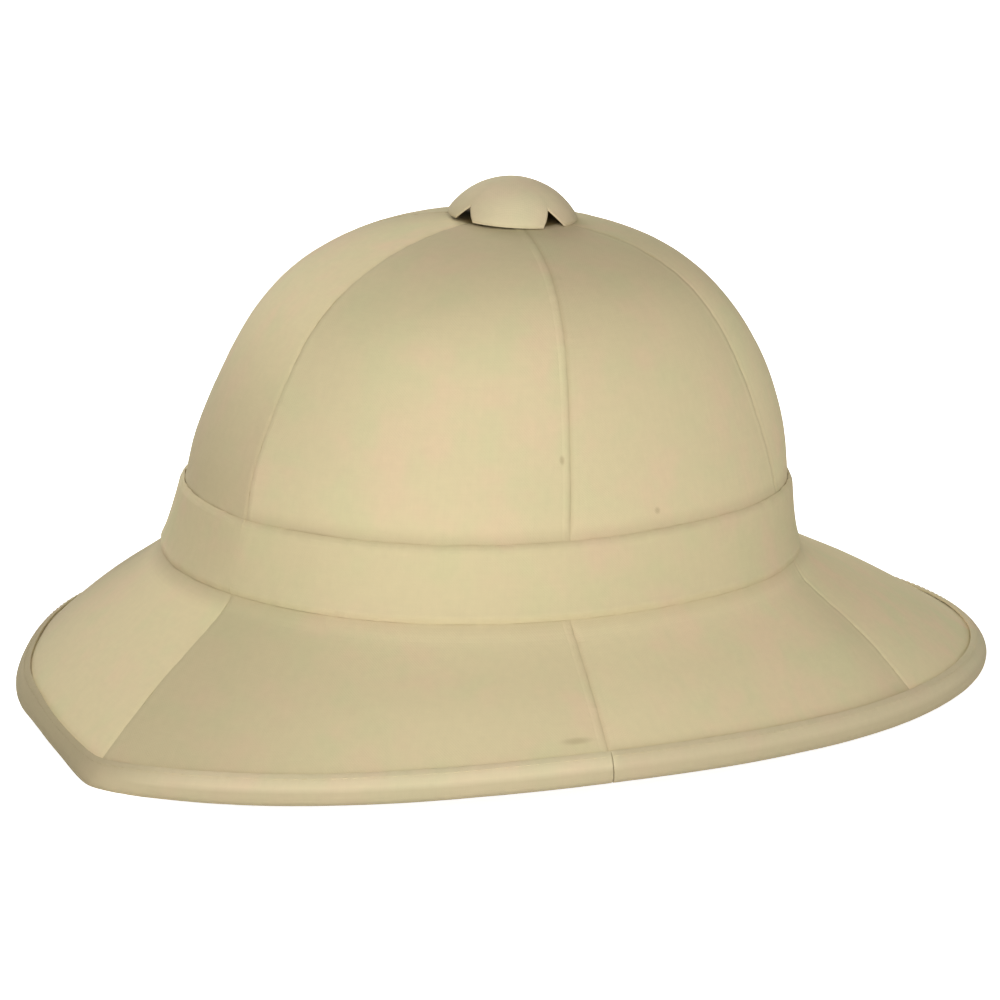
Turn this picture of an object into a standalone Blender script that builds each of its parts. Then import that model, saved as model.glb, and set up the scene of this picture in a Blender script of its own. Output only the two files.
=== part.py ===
"""Pith helmet, built as the real one is.

A stiff hollow pith shell (crown and brim in one) carries a sewn cloth cover of six gores, a flat cloth band
around the foot of the crown, a folded tape around the brim's edge and a domed cap over the vent hole.

Sizes are in millimetres and angles in degrees. Angle 0 is the front of the hat (-Y) and 90 is +X. Every
layer is measured from one surface, the cover's outer face (the "skin"). The skin is a fan of meridians: each
one runs from the top of the crown down to the brim's edge, and a place along it is called a station.
"""

from math import atan2, cos, degrees, exp, floor, radians, sin

import bmesh
import bpy
from mathutils import Vector

for old in list(bpy.data.objects):
    bpy.data.objects.remove(old)

MM = 0.001

# --- Brim edge, seen from above, and how far it lifts off the floor towards the sides
RIM_FRONT = 161.1
RIM_SIDE = 136.6
RIM_BACK = 183.0
RIM_POWER = 2.23
RIM_BOW = 0.099            # how much further the front seam reaches, as a share
RIM_BOW_SPREAD = 13.9
RIM_LIFT = 7.2
RIM_LIFT_FRONT = 9.0       # extra lift of the front half, taken off the back half
RIM_LIFT_POWER = 1.45
RIM_LIFT_CORNERS = 1.8     # extra lift halfway between the seams and the sides
RIM_REST_FRONT = 3.2       # edge of the skin above the floor at the front seam
RIM_REST_BACK = 3.8        # and at the back seam
BRIM_CROWN = 1.5           # how far the brim bulges above a straight slope

# --- Foot of the crown, where the band's lower edge lies
BASE_FRONT = 115.3
BASE_SIDE = 96.2
BASE_BACK = 93.5
BASE_POWER = 2.19
BASE_HEIGHT = 49.4
BASE_TILT = 1.0            # the front of the base is this much higher, the back this much lower
BASE_RIDGE = 0.007         # how much further the front seam stands out there, as a share
CROWN_RIDGE = 0.029        # and on the crown
RIDGE_SPREAD = 8.5
BAND_HEIGHT = 23.9
CROWN_TOP = 158.2

# Sections of the crown, top to bottom. Rise is a share of the height from the band's upper edge to the top.
# rise, front radius, side radius, back radius
CROWN_SECTIONS = (
    (1.000, 0.0, 0.0, 0.0),
    (0.987, 23.4, 22.9, 21.6),
    (0.948, 41.5, 39.0, 37.7),
    (0.883, 57.4, 51.8, 51.3),
    (0.795, 71.0, 61.7, 62.8),
    (0.687, 81.8, 69.1, 72.7),
    (0.562, 89.8, 74.7, 81.6),
    (0.425, 96.4, 79.2, 89.0),
    (0.280, 102.4, 83.1, 93.8),
    (0.134, 106.9, 86.8, 95.6),
    (0.000, 108.8, 89.8, 94.7),
)

# --- Stations: whole numbers are the sections above, then the points of the fillet and the brim
BAND_TOP_STATION = len(CROWN_SECTIONS) - 1
FILLET_REACH = 8.0         # the fillet between crown and brim starts and ends this far from their corner
BAND_BOTTOM_STATION = BAND_TOP_STATION + 2
EDGE_STATION = BAND_TOP_STATION + 5
MESH_STATIONS = (1, 2, 3, 4, 5, 6, 7, 8, 9, 10, 11, 11.5, 12, 12.5, 13, 14)

# --- Gore seams of one half of the hat: angle at the top, at the foot of the crown and at the brim's edge
SEAM_FRONT = (0.0, 0.0, 0.0)
SEAM_SIDE = (63.0, 58.2, 60.2)
SEAM_REAR = (113.0, 122.4, 117.4)
SEAM_BACK = (180.0, 180.0, 180.0)
COLUMNS_PER_GORE = 8

# --- Layers
COVER_THICKNESS = 1.2
PITH_THICKNESS = 2.6
BAND_THICKNESS = 1.2
TAPE_THICKNESS = 1.2
GAP = 0.3                  # clearance between touching pieces
VENT_RADIUS = 10.0
EDGE_INSET = 2.2           # the shell and the cover end this far short of the brim's edge

# --- Binding
TAPE_REACH = 6.4           # how far the tape reaches in from the edge, above and below
TAPE_OVERHANG = 0.9        # how far it stands out past that edge
TAPE_ROUND = 2.85          # radius of its rounded edge
TAPE_ROUND_STEPS = 3

# --- Ventilator cap
CAP_RADIUS = 21.5
CAP_RISE = 12.4
CAP_THICKNESS = 1.4
CAP_SHIFT = Vector((1.1, 1.15))    # it sits this far off the crown's axis
CAP_TURN = -2.5                    # its notches are turned this far from the seams they stand over
CAP_SLANT = 0.035                  # its rim rises at this slope toward the front right
CAP_SLANT_TOWARD = -45.0
CAP_COLUMNS = 60
CAP_ROWS = 5
CAP_BALL = (CAP_RADIUS ** 2 + CAP_RISE ** 2) / (2 * CAP_RISE)    # radius of the ball it is cut from
CAP_CENTRE = CROWN_TOP + GAP + CAP_RISE - CAP_BALL               # height of that ball's centre
NOTCH_HALF_ANGLE = 12.0
NOTCH_HEIGHT = 5.5
NOTCH_SPACING = 90.0

# --- Working values
SEARCH_END = 2.0           # the vent and the cap's rim lie above this station
SEARCH_STEPS = 30
SHARP_ANGLE = 50.0         # edges that turn more than this are shaded sharp

# --- Colours, as 8-bit sRGB
CLOTH = (206, 191, 151)
CLOTH_LIGHT = (213, 200, 158)
TAPE = (200, 186, 148)
PITH = (196, 178, 138)
CLOTH_ROUGHNESS = 0.9
PITH_ROUGHNESS = 0.95


# ---------------------------------------------------------------- plan shapes

def super_oval(angle, front, side, back, power):
    """Radius, at an angle, of an oval whose front and back halves have their own lengths."""
    lengthways = cos(radians(angle))
    sideways = abs(sin(radians(angle)))
    length = front if lengthways >= 0 else back
    return ((sideways / side) ** power + (abs(lengthways) / length) ** power) ** (-1 / power)


def from_front(angle):
    """Unsigned angle between a direction and the front seam."""
    return abs((angle + 180) % 360 - 180)


def ridge(angle, share, spread):
    return 1 + share * exp(-from_front(angle) / spread)


def rim_point(angle):
    radius = super_oval(angle, RIM_FRONT, RIM_SIDE, RIM_BACK, RIM_POWER)
    radius *= ridge(angle, RIM_BOW, RIM_BOW_SPREAD)
    forward = cos(radians(angle))
    rest = RIM_REST_BACK + (RIM_REST_FRONT - RIM_REST_BACK) * (1 + forward) / 2
    lift = (RIM_LIFT + RIM_LIFT_FRONT * forward) * abs(sin(radians(angle))) ** RIM_LIFT_POWER
    lift += RIM_LIFT_CORNERS * sin(radians(2 * angle)) ** 2
    return Vector((radius, rest + lift))


def base_height(angle):
    return BASE_HEIGHT + BASE_TILT * cos(radians(angle))


def base_point(angle):
    radius = super_oval(angle, BASE_FRONT, BASE_SIDE, BASE_BACK, BASE_POWER)
    return Vector((radius * ridge(angle, BASE_RIDGE, RIDGE_SPREAD), base_height(angle)))


def crown_point(angle, section):
    rise, front, side, back = section
    band_top = base_height(angle) + BAND_HEIGHT
    radius = super_oval(angle, front, side, back, BASE_POWER) if front else 0.0
    radius *= ridge(angle, CROWN_RIDGE, RIDGE_SPREAD)
    return Vector((radius, band_top + (CROWN_TOP - band_top) * rise))


# ---------------------------------------------------------------- the skin

class Meridian:
    """The skin's curve at one angle: radius and height, as a smooth curve through its stations."""

    def __init__(self, angle):
        crown = [crown_point(angle, section) for section in CROWN_SECTIONS]
        corner = base_point(angle)
        edge = rim_point(angle)
        above = corner + (crown[-1] - corner).normalized() * FILLET_REACH
        below = corner + (edge - corner).normalized() * FILLET_REACH
        middle = corner * 0.5 + (above + below) * 0.25
        slope = (edge - corner).normalized()
        bulge = (below + edge) / 2 + Vector((-slope.y, slope.x)) * BRIM_CROWN
        self.angle = angle
        self.points = crown + [above, middle, below, bulge, edge]
        self.lengths = [(b - a).length for a, b in zip(self.points, self.points[1:])]
        self.slopes = [self._slope(index) for index in range(len(self.points))]

    def _slope(self, index):
        if index == 0:
            return Vector((1, 0))
        if index == len(self.points) - 1:
            return (self.points[-1] - self.points[-2]) / self.lengths[-1]
        run = self.lengths[index - 1] + self.lengths[index]
        return (self.points[index + 1] - self.points[index - 1]) / run

    def _piece(self, station):
        index = min(max(floor(station), 0), len(self.points) - 2)
        return index, station - index

    def point(self, station):
        index, t = self._piece(station)
        reach = self.lengths[index]
        return (self.points[index] * (2 * t ** 3 - 3 * t ** 2 + 1)
                + self.slopes[index] * reach * (t ** 3 - 2 * t ** 2 + t)
                + self.points[index + 1] * (3 * t ** 2 - 2 * t ** 3)
                + self.slopes[index + 1] * reach * (t ** 3 - t ** 2))

    def tangent(self, station):
        """Unit direction of travel, away from the top of the crown."""
        index, t = self._piece(station)
        reach = self.lengths[index]
        return (self.points[index] * (6 * t ** 2 - 6 * t)
                + self.slopes[index] * reach * (3 * t ** 2 - 4 * t + 1)
                + self.points[index + 1] * (6 * t - 6 * t ** 2)
                + self.slopes[index + 1] * reach * (3 * t ** 2 - 2 * t)).normalized()

    def normal(self, station):
        along = self.tangent(station)
        return Vector((-along.y, along.x))

    def station_at_radius(self, radius):
        """Station near the top of the crown where the skin has this radius."""
        low, high = 0.0, SEARCH_END
        for _ in range(SEARCH_STEPS):
            middle = (low + high) / 2
            if self.point(middle).x < radius:
                low = middle
            else:
                high = middle
        return low

    def station_before_edge(self, inset):
        return EDGE_STATION - inset / self.lengths[-1]

    def place(self, flat):
        """A (radius, height) pair of this meridian as a point of the hat."""
        turn = radians(self.angle)
        return Vector((sin(turn) * flat.x, HAT_SHIFT - cos(turn) * flat.x, flat.y))

    def layer(self, station, offset):
        """Point of the hat at an offset outward from the skin."""
        return self.place(self.point(station) + self.normal(station) * offset)


# The origin lies under the middle of the brim's length, so the meridians' axis stands off it.
HAT_SHIFT = (rim_point(0).x - rim_point(180).x) / 2


def seam_angle(seam, station):
    """Angle of a gore seam at a station."""
    top, foot, edge = seam
    if station <= BAND_BOTTOM_STATION:
        return top + (foot - top) * station / BAND_BOTTOM_STATION
    share = (station - BAND_BOTTOM_STATION) / (EDGE_STATION - BAND_BOTTOM_STATION)
    return foot + (edge - foot) * share


def mirrored(seam):
    return tuple(360 - angle for angle in seam)


SEAMS = (SEAM_FRONT, SEAM_SIDE, SEAM_REAR, SEAM_BACK, mirrored(SEAM_REAR), mirrored(SEAM_SIDE),
         tuple(360 + angle for angle in SEAM_FRONT))
GORE_NAMES = ("cover_front_left", "cover_side_left", "cover_back_left",
              "cover_back_right", "cover_side_right", "cover_front_right")


def column_angle(column, station):
    """Angle of a mesh column, given as a gore's number and a share of its width, at a station."""
    gore, share = column
    start = seam_angle(SEAMS[gore], station)
    end = seam_angle(SEAMS[gore + 1], station)
    return start + (end - start) * share


def edge_meridian(column):
    return Meridian(column_angle(column, EDGE_STATION))


def gore_columns(gore):
    """Columns of one gore, short of the one on its far seam."""
    return [(gore, step / COLUMNS_PER_GORE) for step in range(COLUMNS_PER_GORE)]


def ring_columns(first_gore=0):
    """Columns once around the hat, from the near seam of a gore."""
    gores = [(first_gore + step) % len(GORE_NAMES) for step in range(len(GORE_NAMES))]
    return [column for gore in gores for column in gore_columns(gore)]


# ---------------------------------------------------------------- meshes

def add_object(name, mesh, colour, roughness):
    material = bpy.data.materials.new(name)
    material.use_nodes = True
    surface = material.node_tree.nodes["Principled BSDF"]
    surface.inputs["Base Color"].default_value = (*[linear(value) for value in colour], 1)
    surface.inputs["Roughness"].default_value = roughness
    surface.inputs["Metallic"].default_value = 0
    mesh.materials.append(material)
    mesh.shade_smooth()
    mesh.set_sharp_from_angle(angle=radians(SHARP_ANGLE))
    item = bpy.data.objects.new(name, mesh)
    bpy.context.collection.objects.link(item)
    return item


def linear(value):
    share = value / 255
    return share / 12.92 if share <= 0.04045 else ((share + 0.055) / 1.055) ** 2.4


def mesh_from(name, build):
    """Make a mesh with a function that fills a bmesh, with its faces turned outward."""
    work = bmesh.new()
    build(work)
    bmesh.ops.recalc_face_normals(work, faces=work.faces)
    mesh = bpy.data.meshes.new(name)
    work.to_mesh(mesh)
    work.free()
    return mesh


def layer_section(places, outer, inner):
    """Section of a layer: its outer face along a list of (meridian, station), then its inner face back."""
    out = [meridian.layer(station, outer) for meridian, station in places]
    back = [meridian.layer(station, inner) for meridian, station in reversed(places)]
    return out + back


def add_sections(work, sections, closed):
    """Join equal sections, each a face followed by the opposite face back, one after another.

    Each quad is cut from the first section's higher corner, so the facets of stacked layers are parallel.
    """
    rows = [[work.verts.new(point * MM) for point in section] for section in sections]
    pairs = list(zip(rows, rows[1:]))
    if closed:
        pairs.append((rows[-1], rows[0]))
    for first, second in pairs:
        for step in range(len(first)):
            after = (step + 1) % len(first)
            on_back = step >= len(first) // 2
            cut_from, cut_to = (first[after], second[step]) if on_back else (first[step], second[after])
            work.faces.new((first[step], first[after], cut_to))
            work.faces.new((cut_from, second[after], second[step]))
    if not closed:
        for end in (rows[0], rows[-1]):
            for step in range(len(end) // 2 - 1):
                work.faces.new((end[step], end[step + 1], end[-2 - step], end[-1 - step]))


def add_layer(name, columns, outer, inner, closed, colour, roughness):
    """A piece that lies between two offsets from the skin."""
    sections = [layer_section(places, outer, inner) for places in columns]
    mesh = mesh_from(name, lambda work: add_sections(work, sections, closed))
    return add_object(name, mesh, colour, roughness)


# ---------------------------------------------------------------- pieces

def skin_column(column, vent_radius, side_gap=0.0):
    """Places down the whole skin along a mesh column, from the vent's rim to the edge's inset."""
    vent = Meridian(column_angle(column, 0)).station_at_radius(vent_radius)
    stop = edge_meridian(column).station_before_edge(EDGE_INSET)
    places = []
    for station in (vent, *MESH_STATIONS, stop):
        angle = column_angle(column, station)
        radius = Meridian(angle).point(station).x
        places.append((Meridian(angle + degrees(side_gap / radius)), station))
    return places


def make_shell():
    outer = -COVER_THICKNESS - GAP
    columns = [skin_column(column, VENT_RADIUS - GAP) for column in ring_columns()]
    return add_layer("shell", columns, outer, outer - PITH_THICKNESS, True, PITH, PITH_ROUGHNESS)


def make_cover(gore):
    """One gore, short of the seam at each side by half a gap."""
    columns = [skin_column(column, VENT_RADIUS) for column in gore_columns(gore)]
    columns[0] = skin_column((gore, 0), VENT_RADIUS, GAP / 2)
    columns.append(skin_column((gore, 1), VENT_RADIUS, -GAP / 2))
    return add_layer(GORE_NAMES[gore], columns, 0.0, -COVER_THICKNESS, False, CLOTH, CLOTH_ROUGHNESS)


def make_band():
    stations = [station for station in MESH_STATIONS
                if BAND_TOP_STATION <= station <= BAND_BOTTOM_STATION]
    columns = [[(Meridian(column_angle(column, station)), station) for station in stations]
               for column in ring_columns()]
    return add_layer("band", columns, GAP + BAND_THICKNESS, GAP, True, CLOTH, CLOTH_ROUGHNESS)


def quarter_round(radius, height, start):
    """Quarter circle of the tape's section, turning inward and down, as (outward, upward) pairs."""
    turns = [radians(start - 90 * step / TAPE_ROUND_STEPS) for step in range(TAPE_ROUND_STEPS + 1)]
    centre = TAPE_OVERHANG - TAPE_ROUND
    return [(centre + radius * cos(turn), height + radius * sin(turn)) for turn in turns]


def tape_face(radius, top, bottom):
    """One face of the folded tape, from its upper hem around the edge to its lower hem."""
    upper = quarter_round(radius, top - radius, 90)
    lower = quarter_round(radius, bottom + radius, 0)
    return [(-TAPE_REACH, top), *upper, *lower, (-TAPE_REACH, bottom)]


def tape_section():
    """Section of the folded tape: outward from the skin's edge, and upward from the skin."""
    top = GAP + TAPE_THICKNESS
    bottom = -COVER_THICKNESS - PITH_THICKNESS - 2 * GAP - TAPE_THICKNESS
    outside = tape_face(TAPE_ROUND, top, bottom)
    inside = tape_face(TAPE_ROUND - TAPE_THICKNESS, top - TAPE_THICKNESS, bottom + TAPE_THICKNESS)
    return outside + inside[::-1]


def tape_loop(meridian):
    """The tape's section at one angle, pressed flat where it would reach below the floor."""
    edge = meridian.points[-1]
    along = meridian.tangent(EDGE_STATION)
    up = meridian.normal(EDGE_STATION)
    flat = [edge + along * outward + up * height for outward, height in tape_section()]
    return [meridian.place(Vector((point.x, max(point.y, 0.0)))) for point in flat]


def make_binding():
    """The tape runs once around from the joint at the left side seam, with a gap where its ends meet."""
    meridians = [edge_meridian(column) for column in ring_columns(1)]
    joint = meridians[0]
    half_gap = degrees(GAP / 2 / joint.points[-1].x)
    meridians[0] = Meridian(joint.angle + half_gap)
    meridians.append(Meridian(joint.angle - half_gap))
    sections = [tape_loop(meridian) for meridian in meridians]
    mesh = mesh_from("brim_binding", lambda work: add_sections(work, sections, False))
    return add_object("brim_binding", mesh, TAPE, CLOTH_ROUGHNESS)


def notch_share(angle):
    """How much of a notch's full height is cut from the cap's rim at an angle."""
    off = abs((angle - CAP_TURN + NOTCH_SPACING / 2) % NOTCH_SPACING - NOTCH_SPACING / 2)
    return max(0.0, 1 - off / NOTCH_HALF_ANGLE)


def cap_seat(angle):
    """Height at which the cap's rim stands just clear of the crown, at an angle around the cap."""
    turn = radians(angle)
    spot = CAP_SHIFT + Vector((sin(turn), -cos(turn))) * CAP_RADIUS
    meridian = Meridian(degrees(atan2(spot.x, -spot.y)))
    return meridian.point(meridian.station_at_radius(spot.length)).y + GAP


def cap_point(angle, radius, height):
    turn = radians(angle)
    return Vector((CAP_SHIFT.x + radius * sin(turn), HAT_SHIFT + CAP_SHIFT.y - radius * cos(turn), height))


def cap_column(angle, shrink):
    """Points down the cap's dome at an angle, from its top to its rim, on a dome smaller by shrink."""
    slant = CAP_SLANT * CAP_RADIUS * (1 + cos(radians(angle - CAP_SLANT_TOWARD)))
    lift = slant + (NOTCH_HEIGHT - slant) * notch_share(angle)
    rim = cap_seat(angle) + lift - CAP_CENTRE
    ball = CAP_BALL - shrink
    rim_tilt = atan2((ball ** 2 - rim ** 2) ** 0.5, rim)
    tilts = [rim_tilt * (row + 1) / CAP_ROWS for row in range(CAP_ROWS)]
    return [cap_point(angle, ball * sin(tilt), CAP_CENTRE + ball * cos(tilt)) for tilt in tilts]


def add_dome(work, angles, shrink):
    """One face of the cap. Returns its columns of points."""
    top = work.verts.new(cap_point(0, 0, CAP_CENTRE + CAP_BALL - shrink) * MM)
    columns = [[work.verts.new(point * MM) for point in cap_column(angle, shrink)] for angle in angles]
    for first, second in zip(columns, columns[1:] + columns[:1]):
        work.faces.new((top, first[0], second[0]))
        for step in range(CAP_ROWS - 1):
            work.faces.new((first[step], first[step + 1], second[step + 1], second[step]))
    return columns


def build_cap(work):
    angles = [CAP_TURN + 360 * column / CAP_COLUMNS for column in range(CAP_COLUMNS)]
    outside = add_dome(work, angles, 0.0)
    inside = add_dome(work, angles, CAP_THICKNESS)
    for index in range(CAP_COLUMNS):
        after = (index + 1) % CAP_COLUMNS
        work.faces.new((outside[index][-1], inside[index][-1], inside[after][-1], outside[after][-1]))


def make_cap():
    return add_object("ventilator_cap", mesh_from("ventilator_cap", build_cap), CLOTH_LIGHT, CLOTH_ROUGHNESS)


make_shell()
for number in range(len(GORE_NAMES)):
    make_cover(number)
make_band()
make_binding()
make_cap()
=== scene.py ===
"""Looks of the cloth-covered pith helmet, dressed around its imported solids.

Sizes are in millimetres and angles in degrees unless a comment says otherwise; node inputs are in metres.
The front looks along -Y, and an angle around the hat grows from the front towards its left side, +X.
"""

from math import cos, pi, radians, sin

import bmesh
import bpy
import numpy as np
from mathutils import Matrix, Vector


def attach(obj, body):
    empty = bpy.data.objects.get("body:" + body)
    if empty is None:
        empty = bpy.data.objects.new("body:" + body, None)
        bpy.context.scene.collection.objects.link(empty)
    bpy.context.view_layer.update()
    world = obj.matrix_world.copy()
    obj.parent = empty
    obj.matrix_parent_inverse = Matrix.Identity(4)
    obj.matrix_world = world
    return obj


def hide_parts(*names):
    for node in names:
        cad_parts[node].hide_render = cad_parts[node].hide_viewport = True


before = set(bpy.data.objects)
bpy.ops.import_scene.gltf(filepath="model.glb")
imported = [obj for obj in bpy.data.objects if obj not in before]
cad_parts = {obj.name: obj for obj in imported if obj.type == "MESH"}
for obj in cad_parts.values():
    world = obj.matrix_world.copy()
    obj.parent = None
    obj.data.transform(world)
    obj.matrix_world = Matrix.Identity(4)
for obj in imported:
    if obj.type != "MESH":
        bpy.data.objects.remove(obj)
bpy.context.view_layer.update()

MM = 0.001
MERGE_DISTANCE = 2e-6  # metres within which doubled points become one

# ---- sizes of the helmet

RIM_FRONT = 161.1
RIM_SIDE = 136.6
RIM_BACK = 183.0
RIM_POWER = 2.23
RIM_BOW = 0.099
RIM_BOW_SPREAD = 13.9
RIM_BOW_ROUND = 1.8  # the brim's front corner is rounded within this many degrees
RIM_LIFT = 7.2
RIM_LIFT_FRONT = 9.0
RIM_LIFT_POWER = 1.45
RIM_LIFT_CORNERS = 1.8
RIM_REST_FRONT = 3.2
RIM_REST_BACK = 3.8
BRIM_CROWN = 1.5

BASE_FRONT = 115.3
BASE_SIDE = 96.2
BASE_BACK = 93.5
BASE_POWER = 2.19
BASE_HEIGHT = 49.4
BASE_TILT = 1.0
BASE_RIDGE = 0.007
CROWN_RIDGE = 0.029
RIDGE_SPREAD = 8.5
RIDGE_ROUND = 1.5  # degrees within which the crown's front ridge is rounded
BAND_HEIGHT = 23.9
CROWN_TOP = 158.2

# rise (share of the crown's height), front, side and back radius
CROWN_SECTIONS = (
    (1.000, 0.0, 0.0, 0.0),
    (0.987, 23.4, 22.9, 21.6),
    (0.948, 41.5, 39.0, 37.7),
    (0.883, 57.4, 51.8, 51.3),
    (0.795, 71.0, 61.7, 62.8),
    (0.687, 81.8, 69.1, 72.7),
    (0.562, 89.8, 74.7, 81.6),
    (0.425, 96.4, 79.2, 89.0),
    (0.280, 102.4, 83.1, 93.8),
    (0.134, 106.9, 86.8, 95.6),
    (0.000, 108.8, 89.8, 94.7),
)
# stations run down the skin, one from each section or corner to the next
BAND_TOP_STATION = len(CROWN_SECTIONS) - 1
BAND_BOTTOM_STATION = BAND_TOP_STATION + 2
EDGE_STATION = BAND_TOP_STATION + 5
FILLET_REACH = 8.0

# angle of each seam at the top, at the foot of the crown and at the brim's edge
SEAM_SIDE = (63.0, 58.2, 60.2)
SEAM_REAR = (113.0, 122.4, 117.4)
SEAMS = (
    (0.0, 0.0, 0.0),
    SEAM_SIDE,
    SEAM_REAR,
    (180.0, 180.0, 180.0),
    tuple(360 - angle for angle in SEAM_REAR),
    tuple(360 - angle for angle in SEAM_SIDE),
    (360.0, 360.0, 360.0),
)
GORES = ("front_left", "side_left", "back_left", "back_right", "side_right", "front_right")
COVER = ["gore_" + name for name in GORES]

COVER_THICKNESS = 1.2
PITH_THICKNESS = 2.6
BAND_THICKNESS = 1.2
TAPE_THICKNESS = 1.2
GAP = 0.3
VENT_RADIUS = 10.0
EDGE_INSET = 2.2

TAPE_REACH = 7.1
TAPE_OVERHANG = 1.7
TAPE_ROUND = 2.85
TAPE_ROLL_LENGTH = 6.8
TAPE_ROLL_DROP = 4.2

CAP_RADIUS = 21.5
CAP_RISE = 12.4
CAP_THICKNESS = 1.4
CAP_SHIFT = (1.1, 1.15)
CAP_TURN = -2.5
CAP_SLANT = 0.035
CAP_SLANT_TOWARD = -45.0
CAP_BALL = (CAP_RADIUS ** 2 + CAP_RISE ** 2) / (2 * CAP_RISE)
CAP_CENTRE = CROWN_TOP + GAP + CAP_RISE - CAP_BALL
NOTCH_HALF_ANGLE = 12.0
NOTCH_HEIGHT = 5.5
NOTCH_SPACING = 90.0


def add_object(name, data):
    made = bpy.data.objects.new(name, data)
    bpy.context.scene.collection.objects.link(made)
    return made


# ---- camera

CAMERA_AZIMUTH = 45.682
CAMERA_ELEVATION = 14.347
CAMERA_ROLL = 1.179
CAMERA_DISTANCE = 1.4698  # metres
CAMERA_TARGET = Vector((0, -0.00298, 0.075))  # metres
CAMERA_LENS = 159.8
CAMERA_SHIFT = (-0.00086, -0.0383)


def aim_axes(azimuth, elevation):
    """Right, up and forward unit vectors of a view from an azimuth and an elevation."""
    turn, rise = radians(azimuth), radians(elevation)
    right = Vector((cos(turn), sin(turn), 0))
    forward = Vector((-sin(turn) * cos(rise), cos(turn) * cos(rise), -sin(rise)))
    return right, right.cross(forward), forward


def placed(right, up, forward, place):
    matrix = Matrix((right, up, -forward)).transposed().to_4x4()
    matrix.translation = place
    return matrix


def add_camera():
    right, up, forward = aim_axes(CAMERA_AZIMUTH, CAMERA_ELEVATION)
    roll = radians(CAMERA_ROLL)
    lens = bpy.data.cameras.new("photo_view")
    lens.sensor_width = 36
    lens.lens = CAMERA_LENS
    lens.shift_x, lens.shift_y = CAMERA_SHIFT
    lens.clip_end = 50
    camera = add_object("photo_view", lens)
    tilted_right = right * cos(roll) + up * sin(roll)
    tilted_up = up * cos(roll) - right * sin(roll)
    place = CAMERA_TARGET - forward * CAMERA_DISTANCE
    camera.matrix_world = placed(tilted_right, tilted_up, forward, place)
    bpy.context.scene.camera = camera


add_camera()

# ---- the skin that every layer follows

FINE_STEPS = 600  # in which a run along the skin is measured
HALVINGS = 40  # of the interval in which a station near the top is looked for
NEAR_TOP = 2.0  # that interval's lower end, a station


def super_oval(angle, front, side, back, power):
    """Radius, at each angle, of an oval whose front and back halves have their own lengths."""
    lengthways = np.cos(np.radians(angle))
    sideways = np.abs(np.sin(np.radians(angle)))
    length = np.where(lengthways >= 0, front, back)
    return ((sideways / side) ** power + (np.abs(lengthways) / length) ** power) ** (-1 / power)


def ridge(angle, share, spread, rounding):
    """How far the front seam draws the skin out at each angle, as a factor."""
    from_front = np.hypot((angle + 180) % 360 - 180, rounding)
    return 1 + share * np.exp(-from_front / spread)


def flat_pair(radius, height):
    return np.stack(np.broadcast_arrays(radius, height), axis=-1)


def rim_radius(angle, rounding):
    oval = super_oval(angle, RIM_FRONT, RIM_SIDE, RIM_BACK, RIM_POWER)
    return oval * ridge(angle, RIM_BOW, RIM_BOW_SPREAD, rounding)


def rim_point(angle):
    forward = np.cos(np.radians(angle))
    sideways = np.abs(np.sin(np.radians(angle)))
    rest = RIM_REST_BACK + (RIM_REST_FRONT - RIM_REST_BACK) * (1 + forward) / 2
    lift = (RIM_LIFT + RIM_LIFT_FRONT * forward) * sideways ** RIM_LIFT_POWER
    lift = lift + RIM_LIFT_CORNERS * np.sin(np.radians(2 * angle)) ** 2
    return flat_pair(rim_radius(angle, RIM_BOW_ROUND), rest + lift)


def base_height(angle):
    return BASE_HEIGHT + BASE_TILT * np.cos(np.radians(angle))


def base_point(angle):
    radius = super_oval(angle, BASE_FRONT, BASE_SIDE, BASE_BACK, BASE_POWER)
    return flat_pair(radius * ridge(angle, BASE_RIDGE, RIDGE_SPREAD, RIDGE_ROUND), base_height(angle))


def crown_point(angle, section):
    rise, front, side, back = section
    band_top = base_height(angle) + BAND_HEIGHT
    radius = super_oval(angle, front, side, back, BASE_POWER) if front else np.zeros_like(angle)
    height = band_top + (CROWN_TOP - band_top) * rise
    return flat_pair(radius * ridge(angle, CROWN_RIDGE, RIDGE_SPREAD, RIDGE_ROUND), height)


def unit(vectors):
    return vectors / np.linalg.norm(vectors, axis=-1, keepdims=True)


def run_along(points):
    """Each point's distance from the first, measured along the line through them all."""
    return np.concatenate([[0], np.cumsum(np.linalg.norm(np.diff(points, axis=0), axis=1))])


def skin_curve(angle):
    """At each angle, the skin's stations, the lengths between them and the slopes at them."""
    crown = [crown_point(angle, section) for section in CROWN_SECTIONS]
    corner, edge = base_point(angle), rim_point(angle)
    slope = unit(edge - corner)
    above = corner + unit(crown[-1] - corner) * FILLET_REACH
    below = corner + slope * FILLET_REACH
    middle = corner * 0.5 + (above + below) * 0.25
    bulge = (below + edge) / 2 + flat_pair(-slope[..., 1], slope[..., 0]) * BRIM_CROWN
    points = np.stack([*crown, above, middle, below, bulge, edge], axis=1)
    steps = np.diff(points, axis=1)
    lengths = np.linalg.norm(steps, axis=-1)
    slopes = np.empty_like(points)
    slopes[:, 1:-1] = (points[:, 2:] - points[:, :-2]) / (lengths[:, 1:] + lengths[:, :-1])[..., None]
    slopes[:, 0] = (1, 0)
    slopes[:, -1] = steps[:, -1] / lengths[:, -1:]
    soften_crown(points, lengths, slopes)
    return points, lengths, slopes


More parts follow.
